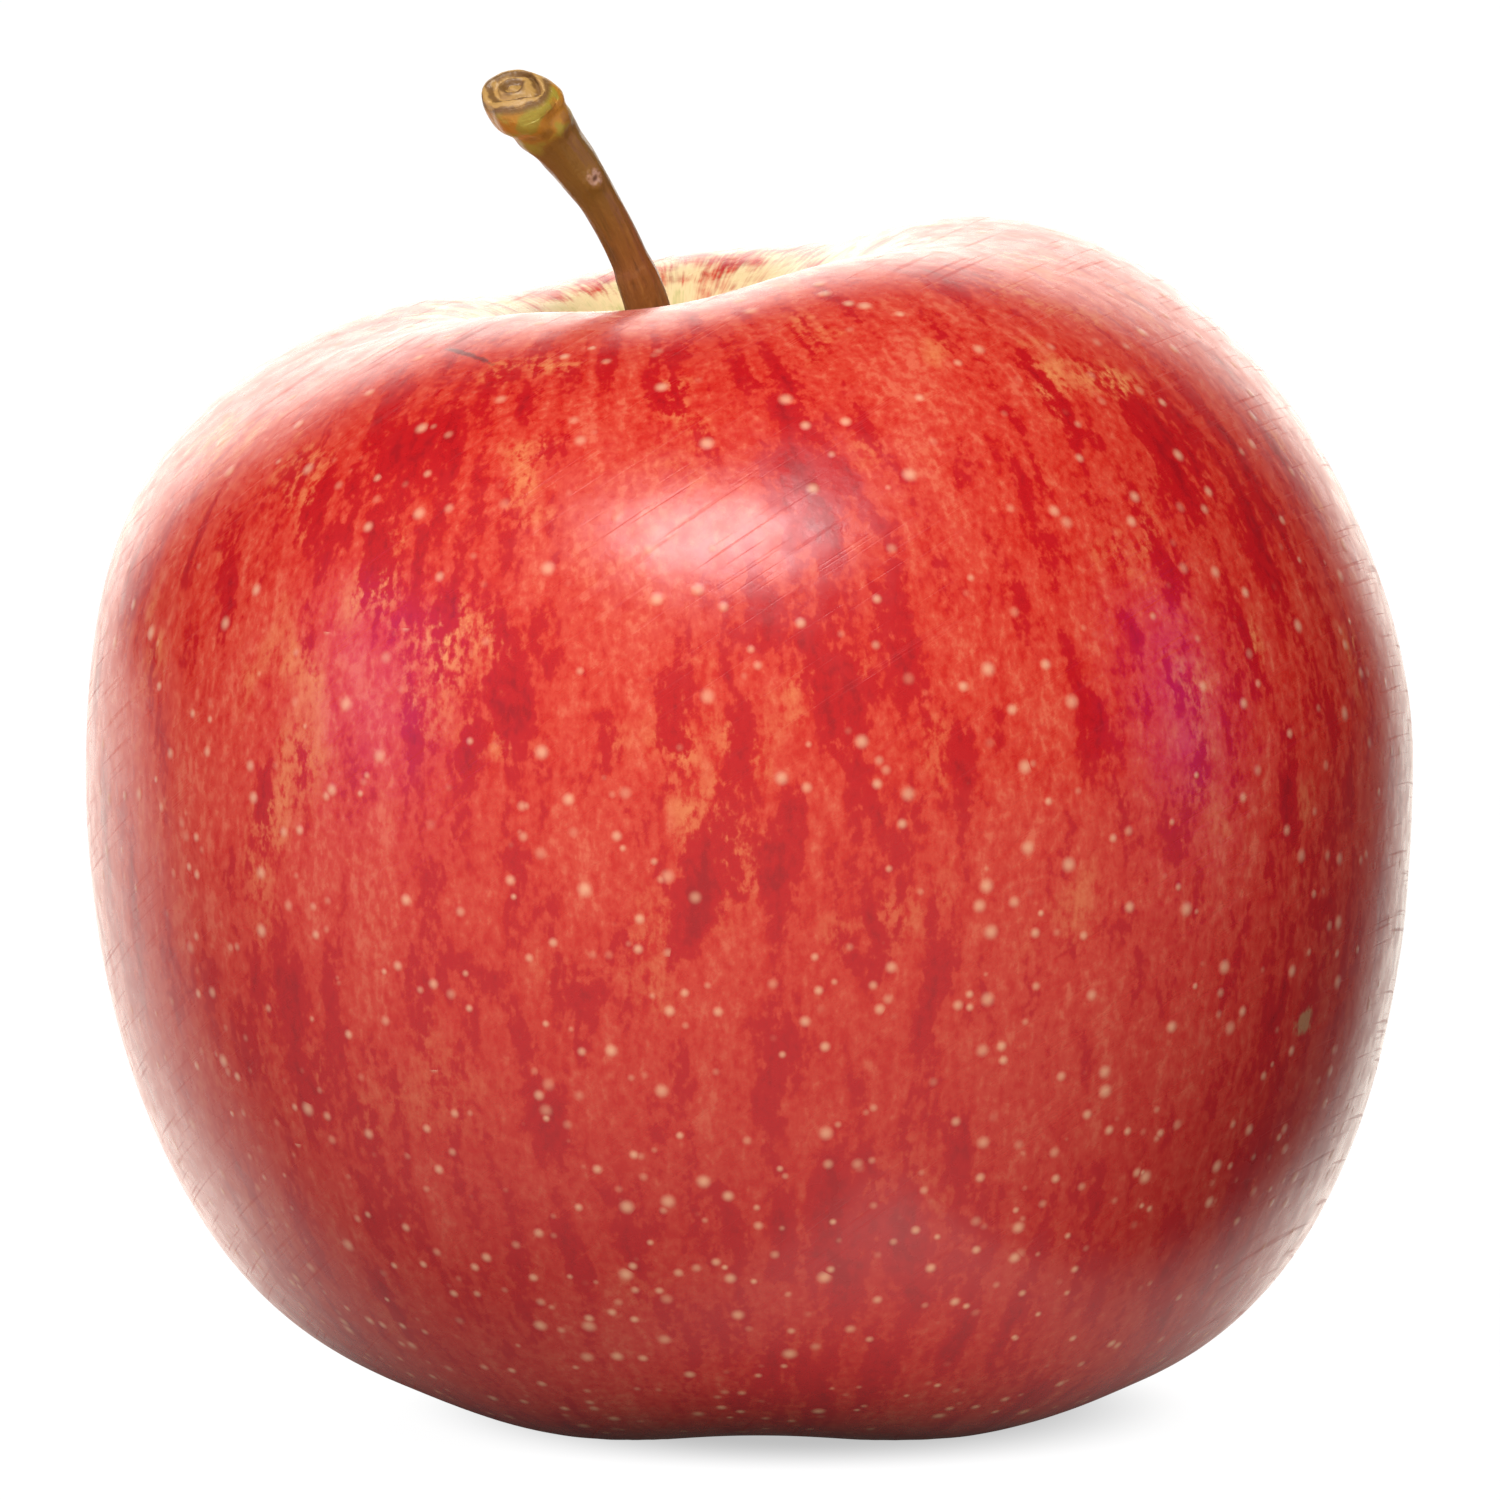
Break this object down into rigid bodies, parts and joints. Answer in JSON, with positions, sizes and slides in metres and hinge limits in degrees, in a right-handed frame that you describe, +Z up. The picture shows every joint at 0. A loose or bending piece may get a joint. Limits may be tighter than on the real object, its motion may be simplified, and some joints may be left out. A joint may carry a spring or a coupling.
{
  "type": "apple",
  "caption": "Ripe red dessert apple, round with a tilted crown, with its curved stalk and the dried calyx in the basin underneath; stands on its base lobes.",
  "frame": {"origin": "centre of the bounding box's footprint, on the floor that the apple stands on", "axes": "+Z up through the crown, -Y towards the front, +X towards the taller shoulder"},
  "size_m": [0.078, 0.076, 0.079],
  "materials": {
    "skin": "gloss",
    "bark": "matte",
    "dry_calyx": "matte"
  },
  "bodies": {
    "root": {"fruit": "skin", "stem": "bark", "sepal_1": "dry_calyx", "sepal_2": "dry_calyx", "sepal_3": "dry_calyx", "sepal_4": "dry_calyx", "sepal_5": "dry_calyx", "stamen_tuft": "dry_calyx"}
  },
  "joints": []
}
